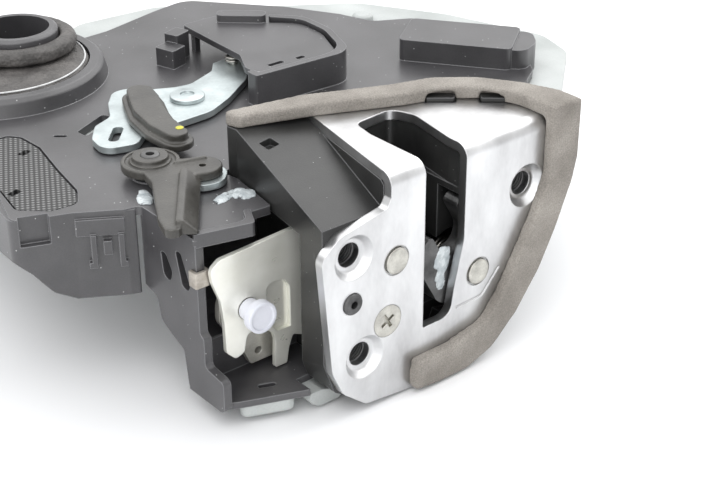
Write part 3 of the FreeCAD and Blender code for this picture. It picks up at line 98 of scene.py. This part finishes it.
def makeMaterial(name, ownLook):
    look = {**plainLook, **ownLook}
    mat = bpy.data.materials.new(name)
    mat.use_nodes = True
    tree = mat.node_tree
    link = tree.links.new
    shader = tree.nodes["Principled BSDF"]
    shader.inputs["Metallic"].default_value = look["metal"]
    shader.inputs["Specular IOR Level"].default_value = look["specular"]
    coords = addNode(tree, "TexCoord", {})
    place = addNode(tree, "Mapping", {"Scale": look["stretch"]})
    link(coords.outputs["Object"], place.inputs["Vector"])

    # broad patches of tone
    patches = addNode(tree, "TexNoise", {"Scale": look["patchScale"], "Detail": look["patchDetail"]})
    link(place.outputs["Vector"], patches.inputs["Vector"])
    tones = addNode(tree, "ValToRGB", {})
    dark, light = tones.color_ramp.elements
    dark.position = look["patchFrom"]
    dark.color = (*look["dark"], 1)
    light.position = look["patchTo"]
    light.color = (*look["light"], 1)
    link(patches.outputs["Fac"], tones.inputs["Fac"])

    # fine grain, also in the bump
    grain = addNode(tree, "TexNoise", {"Scale": look["grainScale"], "Detail": look["grainDetail"]})
    link(place.outputs["Vector"], grain.inputs["Vector"])
    speckle = addNode(tree, "Mix", {"Factor": look["speckle"]}, data_type="RGBA", blend_type="OVERLAY")
    link(tones.outputs["Color"], speckle.inputs["A"])
    link(grain.outputs["Fac"], speckle.inputs["B"])
    colour = speckle.outputs["Result"]

    lowest, highest = look["rough"]
    rough = addNode(tree, "MapRange", {"To Min": lowest, "To Max": highest})
    link(patches.outputs["Fac"], rough.inputs["Value"])
    link(rough.outputs["Result"], shader.inputs["Roughness"])

    # edges look a little rounded, as moulded and pressed ones do
    edge = addNode(tree, "Bevel", {"Radius": look["edge"] * mm}, samples=look["edgeSamples"])
    bump = addNode(tree, "Bump", {"Strength": look["bump"], "Distance": look["bumpDepth"]})
    link(grain.outputs["Fac"], bump.inputs["Height"])
    link(edge.outputs["Normal"], bump.inputs["Normal"])
    link(bump.outputs["Normal"], shader.inputs["Normal"])

    if "rim" in look:
        # painted highlight: edges are painted paler where the rounded normal leaves the flat one
        flat = addNode(tree, "NewGeometry", {})
        agree = addNode(tree, "VectorMath", {}, operation="DOT_PRODUCT")
        link(edge.outputs["Normal"], agree.inputs[0])
        link(flat.outputs["Normal"], agree.inputs[1])
        paintedHighlightMask = addNode(tree, "MapRange", {"From Min": look["rimFrom"], "From Max": look["rimTo"],
                                          "To Max": look["rimShare"]})
        link(agree.outputs["Value"], paintedHighlightMask.inputs["Value"])
        rimmed = addNode(tree, "Mix", {"B": (*look["rim"], 1)}, data_type="RGBA")
        link(paintedHighlightMask.outputs["Result"], rimmed.inputs["Factor"])
        link(colour, rimmed.inputs["A"])
        colour = rimmed.outputs["Result"]

    if "dust" in look:
        # pale specks, each at the heart of a cell
        cells = addNode(tree, "TexVoronoi", {"Scale": look["dustScale"]})
        link(coords.outputs["Object"], cells.inputs["Vector"])
        near = addNode(tree, "Math", {1: look["dust"]}, operation="LESS_THAN")
        link(cells.outputs["Distance"], near.inputs[0])
        dusty = addNode(tree, "Mix", {"B": (*look["dustTone"], 1)}, data_type="RGBA")
        link(near.outputs["Value"], dusty.inputs["Factor"])
        link(colour, dusty.inputs["A"])
        colour = dusty.outputs["Result"]

    link(colour, shader.inputs["Base Color"])
    return mat


finishes = {
    "plateSteel": {"metal": 1.0, "dark": (0.50, 0.50, 0.505), "light": (0.76, 0.765, 0.77),
                   "rough": (0.24, 0.44), "patchScale": 75, "grainScale": 900, "speckle": 0.12,
                   "bump": 0.10, "edge": 0.5, "stretch": (1, 1, 0.45)},
    "zincSteel": {"metal": 0.9, "dark": (0.42, 0.465, 0.47), "light": (0.60, 0.655, 0.66),
                  "rough": (0.34, 0.5), "patchScale": 140, "grainScale": 1100, "speckle": 0.12,
                  "bump": 0.10},
    "bracketSteel": {"metal": 0.45, "dark": (0.78, 0.775, 0.70), "light": (0.95, 0.945, 0.88),
                     "rough": (0.22, 0.38), "patchScale": 90, "grainScale": 1100, "speckle": 0.10,
                     "bump": 0.08},
    "pinSteel": {"metal": 1.0, "dark": (0.38, 0.37, 0.34), "light": (0.62, 0.61, 0.56),
                 "rough": (0.28, 0.48), "patchScale": 300, "speckle": 0.2, "bump": 0.12},
    "darkSteel": {"metal": 0.7, "dark": (0.05, 0.05, 0.05), "light": (0.16, 0.16, 0.16),
                  "rough": (0.3, 0.5), "patchScale": 200, "speckle": 0.2},
    "clipSteel": {"metal": 0.5, "dark": (0.28, 0.25, 0.21), "light": (0.52, 0.48, 0.43),
                  "rough": (0.3, 0.5), "patchScale": 260, "speckle": 0.2},
    "springWire": {"metal": 1.0, "dark": (0.30, 0.29, 0.27), "light": (0.5, 0.48, 0.45),
                   "rough": (0.25, 0.4), "patchScale": 400, "speckle": 0.2},
    "housingBlack": {"dark": (0.034, 0.033, 0.035), "light": (0.078, 0.076, 0.080),
                     "rough": (0.24, 0.42), "patchScale": 45, "grainScale": 2600, "speckle": 0.25,
                     "bump": 0.22, "bumpDepth": 0.00015, "specular": 0.75, "dust": 0.06,
                     # the last tone here is a painted highlight laid along the edges
                     "edge": 0.45, "rim": (0.24, 0.24, 0.25)},
    "bodyBlack": {"dark": (0.016, 0.016, 0.016), "light": (0.036, 0.036, 0.035),
                  "rough": (0.26, 0.42), "patchScale": 70, "grainScale": 2600, "speckle": 0.2,
                  "bump": 0.18, "bumpDepth": 0.00012, "specular": 0.4, "dust": 0.04,
                  # the last tone here is a painted highlight laid along the edges
                  "edge": 0.5, "rim": (0.16, 0.16, 0.165)},
    "bumperBlack": {"dark": (0.036, 0.034, 0.030), "light": (0.080, 0.076, 0.068),
                    "rough": (0.24, 0.42), "patchScale": 110, "speckle": 0.3, "bump": 0.3,
                    # the last tone here is a painted highlight laid along the edges
                    "dust": 0.04, "rim": (0.20, 0.19, 0.17)},
    "paleGrey": {"dark": (0.34, 0.36, 0.35), "light": (0.50, 0.52, 0.51), "rough": (0.35, 0.55),
                 "patchScale": 50, "speckle": 0.12, "bump": 0.12},
    "nylon": {"dark": (0.62, 0.63, 0.69), "light": (0.74, 0.75, 0.81), "rough": (0.30, 0.45),
              "patchScale": 160, "speckle": 0.08, "bump": 0.08},
    "motorCan": {"metal": 1.0, "dark": (0.45, 0.45, 0.43), "light": (0.65, 0.65, 0.62),
                 "rough": (0.25, 0.4), "patchScale": 90, "speckle": 0.12, "stretch": (1, 1, 4)},
    "contacts": {"metal": 1.0, "dark": (0.55, 0.42, 0.2), "light": (0.75, 0.6, 0.3),
                 "rough": (0.2, 0.35), "patchScale": 300, "speckle": 0.1},
    "leverSteel": {"metal": 0.6, "dark": (0.50, 0.49, 0.44), "light": (0.74, 0.72, 0.66),
                   "rough": (0.25, 0.45), "patchScale": 160, "speckle": 0.2},
    "board": {"dark": (0.03, 0.10, 0.06), "light": (0.06, 0.16, 0.09), "rough": (0.35, 0.5)},
    "foam": {"dark": (0.20, 0.182, 0.162), "light": (0.33, 0.305, 0.275), "rough": (0.72, 0.9),
             "specular": 0.3, "patchScale": 90, "grainScale": 2400, "speckle": 0.55,
             "bump": 0.55, "bumpDepth": 0.0004, "edge": 0.3},
    "sealFoam": {"dark": (0.045, 0.042, 0.040), "light": (0.120, 0.112, 0.106),
                 "rough": (0.45, 0.65), "patchScale": 150, "grainScale": 900, "speckle": 0.5,
                 "bump": 0.8, "bumpDepth": 0.0006, "edge": 0.3},
    "sealFilm": {"dark": (0.50, 0.50, 0.50), "light": (0.72, 0.72, 0.72), "rough": (0.2, 0.4),
                 "patchScale": 300, "speckle": 0.1},
    "grease": {"dark": (0.36, 0.40, 0.42), "light": (0.66, 0.70, 0.71), "rough": (0.18, 0.35),
               "patchScale": 400, "speckle": 0.1, "bump": 0.3, "bumpDepth": 0.0005, "specular": 0.7},
    "yellowPaint": {"dark": (0.42, 0.40, 0.02), "light": (0.62, 0.58, 0.05), "rough": (0.3, 0.5),
                    "patchScale": 500},
}
materials = {name: makeMaterial(name, look) for name, look in finishes.items()}


# fine woven panel: two crossed wave patterns, pitch in millimetres and turn in degrees

weaveSizes = {"pitch": 1.35, "turn": 28, "rough": 0.5, "bump": 0.7, "bumpDepth": 0.0004,
              "dark": (0.014, 0.014, 0.014), "light": (0.26, 0.26, 0.26)}
bandSpacing = 0.314  # how far apart the bands of a wave texture of scale 1 are, in metres


def makeWeave(name, sizes):
    mat = bpy.data.materials.new(name)
    mat.use_nodes = True
    tree = mat.node_tree
    link = tree.links.new
    shader = tree.nodes["Principled BSDF"]
    shader.inputs["Roughness"].default_value = sizes["rough"]
    coords = addNode(tree, "TexCoord", {})
    turned = addNode(tree, "Mapping", {"Rotation": (0, 0, radians(sizes["turn"]))})
    link(coords.outputs["Object"], turned.inputs["Vector"])
    crossed = addNode(tree, "Math", {}, operation="MULTIPLY")
    for socket, way in enumerate(("X", "Y")):
        wave = addNode(tree, "TexWave", {"Scale": bandSpacing / (sizes["pitch"] * mm)},
                       bands_direction=way)
        link(turned.outputs["Vector"], wave.inputs["Vector"])
        link(wave.outputs["Fac"], crossed.inputs[socket])
    tones = addNode(tree, "ValToRGB", {})
    dark, light = tones.color_ramp.elements
    dark.color = (*sizes["dark"], 1)
    light.color = (*sizes["light"], 1)
    link(crossed.outputs["Value"], tones.inputs["Fac"])
    link(tones.outputs["Color"], shader.inputs["Base Color"])
    bump = addNode(tree, "Bump", {"Strength": sizes["bump"], "Distance": sizes["bumpDepth"]})
    link(crossed.outputs["Value"], bump.inputs["Height"])
    link(bump.outputs["Normal"], shader.inputs["Normal"])
    return mat


materials["weave"] = makeWeave("weave", weaveSizes)

nodeFinish = {
    "plateSteel": ["face_plate"],
    "zincSteel": ["outer_lever", "lever_rivet", "lock_quadrant"],
    "bracketSteel": ["cable_bracket"],
    "pinSteel": ["catch_pin", "pawl_pin", "plate_screw", "spring_stud", "wheel_pin", "case_screws",
                 "worm_shaft"],
    "darkSteel": ["catch", "pawl", "tube_pin", "hub_pin"],
    "clipSteel": ["pocket_clip"],
    "springWire": ["catch_spring", "pawl_spring", "return_spring"],
    "housingBlack": ["housing", "link_cover", "connector", "cylinder_follower"],
    "bodyBlack": ["latch_body"],
    "weave": ["mesh_panel"],
    "paleGrey": ["tray", "case_lid", "pocket_foot"],
    "nylon": ["worm_wheel"],
    "motorCan": ["motor"],
    "contacts": ["connector_pins"],
    "leverSteel": ["inside_lever"],
    "board": ["circuit_carrier"],
}
for finish, names in nodeFinish.items():
    for name in names:
        mesh = nodes[name].data
        mesh.materials.clear()
        mesh.materials.append(materials[finish])
print("finishes set")


# helpers for pieces; sizes and places handed to them are in millimetres

sharpEdge = radians(40)


def inMetres(place):
    return tuple(part * mm for part in place)


def startPiece():
    if bpy.context.object and bpy.context.object.mode != "OBJECT":
        bpy.ops.object.mode_set(mode="OBJECT")
    bpy.ops.object.select_all(action="DESELECT")


def holdPiece(piece):
    # the piece alone is selected and active
    startPiece()
    piece.select_set(True)
    bpy.context.view_layer.objects.active = piece


def placePiece(piece):
    # the piece's place goes into its mesh
    holdPiece(piece)
    bpy.ops.object.transform_apply(location=True, rotation=True, scale=True)


def applyAll(piece):
    holdPiece(piece)
    for modifier in list(piece.modifiers):
        bpy.ops.object.modifier_apply(modifier=modifier.name)


def joinPieces(made):
    startPiece()
    for part in made:
        part.select_set(True)
    bpy.context.view_layer.objects.active = made[0]
    bpy.ops.object.join()
    piece = bpy.context.object
    placePiece(piece)
    return piece


def pickFaces(piece, test):
    # edit mode, with only the faces that pass the test selected
    holdPiece(piece)
    bpy.ops.object.mode_set(mode="EDIT")
    bpy.ops.mesh.select_mode(type="FACE")
    bpy.ops.mesh.select_all(action="DESELECT")
    bpy.ops.object.mode_set(mode="OBJECT")
    for face in piece.data.polygons:
        face.select = test(face)
    bpy.ops.object.mode_set(mode="EDIT")


def addDisc(x, y, radius, low, high, sides):
    startPiece()
    bpy.ops.mesh.primitive_cylinder_add(vertices=sides, radius=radius * mm, depth=(high - low) * mm,
                                        location=inMetres((x, y, (low + high) / 2)))
    return bpy.context.object


def addRing(place, sizes, turned=(0, 0, 0)):
    startPiece()
    bpy.ops.mesh.primitive_torus_add(major_segments=sizes["segments"], minor_segments=sizes["sides"],
                                     major_radius=sizes["radius"] * mm,
                                     minor_radius=sizes["thick"] * mm,
                                     rotation=turned, location=inMetres(place))
    return bpy.context.object


def addRemesh(piece, voxel, softening):
    remesh = piece.modifiers.new("remesh", "REMESH")
    remesh.mode = "VOXEL"
    remesh.voxel_size = voxel * mm
    soft = piece.modifiers.new("soft", "SMOOTH")
    soft.factor = 0.5
    soft.iterations = softening


def roughClouds(name, size):
    clouds = bpy.data.textures.new(name, "CLOUDS")
    clouds.noise_scale = size * mm
    clouds.noise_depth = 2
    return clouds


def finishPiece(piece, name, finish, body="latch"):
    piece.name = name
    piece.data.name = name
    piece.data.materials.clear()
    piece.data.materials.append(materials[finish])
    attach(piece, body)


# foam seals: each is remeshed from its solid and left a little uneven

foamSizes = {
    "face_foam": {"name": "faceSeal", "finish": "foam", "voxel": 0.6, "lump": 0.12, "softening": 5},
    "ring_foam": {"name": "ringSeal", "finish": "sealFoam", "voxel": 0.9, "lump": 0.8, "softening": 8},
    "tube_foam": {"name": "tubeSeal", "finish": "sealFoam", "voxel": 0.8, "lump": 0.7, "softening": 6},
}
foamLumpWide = 6
foamMerge = 0.01
quickCoarser = 1


def makeFoam(node, sizes):
    holdPiece(nodes[node])
    bpy.ops.object.duplicate()
    piece = bpy.context.object
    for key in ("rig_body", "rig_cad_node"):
        if key in piece:
            del piece[key]
    piece.parent = None
    bpy.ops.object.mode_set(mode="EDIT")
    bpy.ops.mesh.select_all(action="SELECT")
    bpy.ops.mesh.remove_doubles(threshold=foamMerge * mm)
    bpy.ops.mesh.normals_make_consistent(inside=False)
    bpy.ops.object.mode_set(mode="OBJECT")
    addRemesh(piece, sizes["voxel"] * quickCoarser, sizes["softening"])
    lumps = piece.modifiers.new("lumps", "DISPLACE")
    lumps.texture = roughClouds(sizes["name"] + "Lumps", foamLumpWide)
    lumps.texture_coords = "LOCAL"
    lumps.mid_level = 0.5
    lumps.strength = sizes["lump"] * mm
    applyAll(piece)
    bpy.ops.object.shade_smooth()
    finishPiece(piece, sizes["name"], sizes["finish"])
    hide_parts(node)


for node, sizes in foamSizes.items():
    makeFoam(node, sizes)

# pale film edge that shows round the ring seal
filmSizes = {"place": (-17.0, 152.0, 11.1), "radius": 27.0, "thick": 0.3, "segments": 120, "sides": 10}
film = addRing(filmSizes["place"], filmSizes)
placePiece(film)
bpy.ops.object.shade_smooth()
finishPiece(film, "sealFilm", "sealFilm")
print("foam seals made")


# moulded levers: bars of close discs, run together by a remesh

discSpacing = 1.0
discSides = 36


def discsAlong(stops, low, high):
    # stops are (x, y, radius)
    made = []
    for (x0, y0, r0), (x1, y1, r1) in zip(stops, stops[1:]):
        steps = max(1, round(hypot(x1 - x0, y1 - y0) / discSpacing))
        for step in range(steps + 1):
            share = step / steps
            x = x0 + (x1 - x0) * share
            y = y0 + (y1 - y0) * share
            radius = r0 + (r1 - r0) * share
            made.append(addDisc(x, y, radius, low, high, discSides))
    return made


def runTogether(made, sizes):
    piece = joinPieces(made)
    addRemesh(piece, sizes["voxel"], sizes["softening"])
    applyAll(piece)
    return piece


def cutWith(piece, cutter):
    cut = piece.modifiers.new("cut", "BOOLEAN")
    cut.operation = "DIFFERENCE"
    cut.object = cutter
    applyAll(piece)
    bpy.data.objects.remove(cutter, do_unlink=True)


bumperSizes = {
    "stops": [(2.4, 101.0, 3.8), (0.4, 95.6, 4.4), (-3.0, 87.8, 4.4), (-5.4, 77.6, 3.8), (-5.8, 69.4, 3.1)],
    "low": 8.1, "high": 12.6, "flange": 1.5, "flangeHigh": 10.2, "voxel": 0.32, "softening": 5,
}
wideStops = [(x, y, radius + bumperSizes["flange"]) for x, y, radius in bumperSizes["stops"]]
made = discsAlong(bumperSizes["stops"], bumperSizes["low"], bumperSizes["high"])
made += discsAlong(wideStops, bumperSizes["low"], bumperSizes["flangeHigh"])
bumper = runTogether(made, bumperSizes)
bpy.ops.object.shade_smooth()
finishPiece(bumper, "bumperPad", "bumperBlack", "outer_lever")
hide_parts("lever_bumper")

# each part of the lock lever rises from the same underside to its own height
armSizes = {
    "hub": (-19.0, 62.5), "hubRadius": 8.0, "low": 7.9, "high": 10.4,
    "bossRadius": 4.9, "bossHigh": 11.9, "bore": 2.7,
    "groove": {"radius": 6.2, "thick": 0.75, "segments": 64, "sides": 16},
    "flat": [(-19.5, 56.0, 5.4), (-22.0, 49.6, 4.3), (-32.9, 31.4, 3.5), (-35.6, 26.9, 2.3)],
    "ridge": [(-17.2, 49.4, 0.9), (-34.0, 26.4, 0.9)], "ridgeHigh": 12.0,
    "flankSteps": 12, "flankStep": (0.27, -0.20, -0.30),
    "lobe": [(-18.0, 54.5, 5.6), (-10.0, 51.2, 5.4)],
    "lip": [(-15.2, 55.8, 0.6), (-7.6, 53.6, 0.6)], "lipHigh": 11.2,
    "eye": (-10.2, 50.8, 1.0), "boreSides": 48, "voxel": 0.32, "softening": 6,
}
hub = (*armSizes["hub"], armSizes["hubRadius"])
boss = (*armSizes["hub"], armSizes["bossRadius"])
bore = (*armSizes["hub"], armSizes["bore"])
made = discsAlong([hub, hub], armSizes["low"], armSizes["high"])
made += discsAlong([boss, boss], armSizes["low"], armSizes["bossHigh"])
made += discsAlong(armSizes["flat"], armSizes["low"], armSizes["high"])
made += discsAlong(armSizes["lobe"], armSizes["low"], armSizes["high"])
made += discsAlong(armSizes["lip"], armSizes["low"], armSizes["lipHigh"])
for step in range(armSizes["flankSteps"]):
    across, along, up = (part * step for part in armSizes["flankStep"])
    line = [(x + across, y + along, radius) for x, y, radius in armSizes["ridge"]]
    made += discsAlong(line, armSizes["low"], armSizes["ridgeHigh"] + up)
arm = runTogether(made, armSizes)
cutWith(arm, addRing((*armSizes["hub"], armSizes["high"]), armSizes["groove"]))
for x, y, radius in (bore, armSizes["eye"]):
    cutWith(arm, addDisc(x, y, radius, 0, 2 * armSizes["high"], armSizes["boreSides"]))
bpy.ops.object.shade_smooth_by_angle(angle=sharpEdge)
finishPiece(arm, "lockArm", "bumperBlack", "lock_lever")
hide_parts("lock_lever")
print("moulded levers made")


# white knob in the pocket, on its thinner stem; it is modelled upright with its front down

knobSizes = {"x": -17.6, "z": -17.8, "front": 15.3, "back": 17.9, "radius": 4.4,
             "stem": 3.0, "stemBack": 21.9, "dimple": 3.4, "dimpleDeep": 0.35,
             "bevel": 0.7, "bevelSteps": 3, "sides": 64}
headLong = knobSizes["back"] - knobSizes["front"]
stemLong = knobSizes["stemBack"] - knobSizes["back"]
stemShare = knobSizes["stem"] / knobSizes["radius"]
level = 0.9  # a face lies level where its normal points up or down by more than this
knob = addDisc(0, 0, knobSizes["radius"], -headLong / 2, headLong / 2, knobSizes["sides"])
pickFaces(knob, lambda face: face.normal.z > level)
bpy.ops.mesh.extrude_region()
bpy.ops.transform.resize(value=(stemShare, stemShare, 1))
bpy.ops.mesh.extrude_region_move(TRANSFORM_OT_translate={"value": (0, 0, stemLong * mm)})
pickFaces(knob, lambda face: face.normal.z < -level)
bpy.ops.mesh.inset(thickness=(knobSizes["radius"] - knobSizes["dimple"]) * mm)
bpy.ops.mesh.extrude_region_move(TRANSFORM_OT_translate={"value": (0, 0, knobSizes["dimpleDeep"] * mm)})
bpy.ops.object.mode_set(mode="OBJECT")
knob.rotation_euler = (radians(-90), 0, 0)
knob.location = inMetres((knobSizes["x"], knobSizes["front"] + headLong / 2, knobSizes["z"]))
placePiece(knob)
soften = knob.modifiers.new("soften", "BEVEL")
soften.width = knobSizes["bevel"] * mm
soften.segments = knobSizes["bevelSteps"]
soften.limit_method = "ANGLE"
soften.angle_limit = sharpEdge
applyAll(knob)
bpy.ops.object.shade_smooth_by_angle(angle=sharpEdge)
finishPiece(knob, "pullKnob", "nylon", "inside_lever")
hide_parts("knob")
print("knob made")


# threads inside the three fixing holes of the plate

threadSizes = {"start": 4.9, "pitch": 0.8, "turns": 5, "radius": 3.35, "thick": 0.3,
               "segments": 48, "sides": 8}


def makeThread(mount):
    x, _, z = (part / mm for part in mount["pos_m"])
    rings = []
    for turn in range(threadSizes["turns"]):
        y = threadSizes["start"] + turn * threadSizes["pitch"]
        rings.append(addRing((x, y, z), threadSizes, (radians(90), 0, 0)))
    thread = joinPieces(rings)
    bpy.ops.object.shade_smooth()
    finishPiece(thread, "thread_" + mount["name"], "darkSteel")


for mount in frame["record"]["mounts"]:
    if mount["kind"] == "threaded_hole":
        makeThread(mount)
print("threads made")


# paint dot on the bumper

dotSizes = {"x": -4.0, "y": 70.6, "low": 12.45, "high": 12.75, "radius": 1.15, "sides": 28,
            "bevel": 0.1, "bevelSteps": 2}
dot = addDisc(dotSizes["x"], dotSizes["y"], dotSizes["radius"], dotSizes["low"], dotSizes["high"],
              dotSizes["sides"])
bpy.ops.object.mode_set(mode="EDIT")
bpy.ops.mesh.select_all(action="SELECT")
bpy.ops.mesh.bevel(offset=dotSizes["bevel"] * mm, segments=dotSizes["bevelSteps"])
bpy.ops.object.mode_set(mode="OBJECT")
placePiece(dot)
finishPiece(dot, "paintDot", "yellowPaint", "outer_lever")


# grease left by the assembly line: flat uneven smears, with the turn in degrees

smears = {
    "greaseSlotEdge": {"centre": (33.6, 3.4, -14.0), "radii": (2.6, 0.4, 4.4), "turn": 0, "on": "catch"},
    "greaseSlotLow": {"centre": (32.8, 3.4, -19.6), "radii": (2.0, 0.4, 3.6), "turn": 0, "on": "catch"},
    "greaseHubLeft": {"centre": (-27.8, 52.0, 5.6), "radii": (2.2, 4.0, 0.7), "turn": -25, "on": "latch"},
    "greaseHubRight": {"centre": (-11.4, 39.4, 5.55), "radii": (4.6, 1.9, 0.3), "turn": 20, "on": "latch"},
    "greaseByBody": {"centre": (-6.4, 37.8, 5.6), "radii": (2.8, 3.4, 0.5), "turn": 35, "on": "latch"},
}
smearLumps = {"X": 1.1, "Y": 1.1, "Z": 0.5}  # shares of the radius that way
smearLumpWide = 2.2


def makeSmear(name, sizes):
    startPiece()
    bpy.ops.mesh.primitive_uv_sphere_add(segments=48, ring_count=24, radius=mm,
                                         location=inMetres(sizes["centre"]))
    piece = bpy.context.object
    piece.scale = sizes["radii"]
    piece.rotation_euler = (0, 0, radians(sizes["turn"]))
    placePiece(piece)
    for (way, share), radius in zip(smearLumps.items(), sizes["radii"]):
        lumps = piece.modifiers.new("lumps" + way, "DISPLACE")
        lumps.texture = roughClouds(name + way, smearLumpWide)
        lumps.texture_coords = "LOCAL"
        lumps.direction = way
        lumps.strength = radius * share * mm
    applyAll(piece)
    bpy.ops.object.shade_smooth()
    finishPiece(piece, name, "grease", sizes["on"])


for name, sizes in smears.items():
    makeSmear(name, sizes)
print("small marks made")


# floor, light and camera; from here on places are in metres

floorSizes = {"below": 0.0004, "wide": 6.0, "tone": (0.86, 0.86, 0.865), "rough": 0.75}
startPiece()
bpy.ops.mesh.primitive_plane_add(size=floorSizes["wide"],
                                 location=(0, 0, cadBounds[0][2] - floorSizes["below"]))
floor = bpy.context.object
floor.name = "table"
paper = bpy.data.materials.new("paper")
paper.use_nodes = True
shader = paper.node_tree.nodes["Principled BSDF"]
shader.inputs["Base Color"].default_value = (*floorSizes["tone"], 1)
shader.inputs["Roughness"].default_value = floorSizes["rough"]
floor.data.materials.append(paper)

# the room is plain white to the eye, in gloss and through glass, and a softer light elsewhere
studio = {"lightTone": (0.96, 0.98, 1.0), "light": 0.7, "seenTone": (1, 1, 1), "seen": 1.0}
world = bpy.data.worlds.new("studio")
bpy.context.scene.world = world
world.use_nodes = True
tree = world.node_tree
tree.nodes.clear()
link = tree.links.new
paths = addNode(tree, "LightPath", {})
soft = addNode(tree, "Background", {"Color": (*studio["lightTone"], 1), "Strength": studio["light"]})
white = addNode(tree, "Background", {"Color": (*studio["seenTone"], 1), "Strength": studio["seen"]})
seen = paths.outputs["Is Camera Ray"]
for ray in ("Is Glossy Ray", "Is Transmission Ray"):
    either = addNode(tree, "Math", {}, operation="MAXIMUM")
    link(seen, either.inputs[0])
    link(paths.outputs[ray], either.inputs[1])
    seen = either.outputs["Value"]
mix = addNode(tree, "MixShader", {})
link(seen, mix.inputs["Fac"])
link(soft.outputs["Background"], mix.inputs[1])
link(white.outputs["Background"], mix.inputs[2])
output = addNode(tree, "OutputWorld", {})
link(mix.outputs["Shader"], output.inputs["Surface"])

lamps = {
    "overhead": {"at": (0.05, 0.25, 0.75), "aim": (0.03, 0.06, 0), "size": 1.7, "power": 10.0},
    "leftFront": {"at": (-0.55, -0.35, 0.45), "aim": (0.02, 0.03, 0), "size": 1.1, "power": 4.4},
    "rightBack": {"at": (0.6, 0.1, 0.5), "aim": (0.04, 0.05, 0), "size": 0.85, "power": 2.8},
}
for name, lamp in lamps.items():
    light = bpy.data.lights.new(name, "AREA")
    light.shape = "SQUARE"
    light.size = lamp["size"]
    light.energy = lamp["power"]
    holder = bpy.data.objects.new(name, light)
    bpy.context.scene.collection.objects.link(holder)
    holder.location = lamp["at"]
    way = Vector(lamp["aim"]) - Vector(lamp["at"])
    holder.rotation_euler = way.to_track_quat("-Z", "Y").to_euler()

viewpoint = {"at": (-0.2092, -0.2519, 0.1829), "heading": 40.0, "down": 28.5, "lens": 74.8,
             "sensor": 36, "nearest": 0.01}
camera = bpy.data.cameras.new("photoView")
camera.lens = viewpoint["lens"]
camera.sensor_width = viewpoint["sensor"]
camera.clip_start = viewpoint["nearest"]
eye = bpy.data.objects.new("photoView", camera)
bpy.context.scene.collection.objects.link(eye)
eye.location = viewpoint["at"]
eye.rotation_euler = (radians(90 - viewpoint["down"]), 0, radians(-viewpoint["heading"]))
bpy.context.scene.camera = eye
bpy.context.scene.view_settings.view_transform = "Standard"
print("light and camera set")
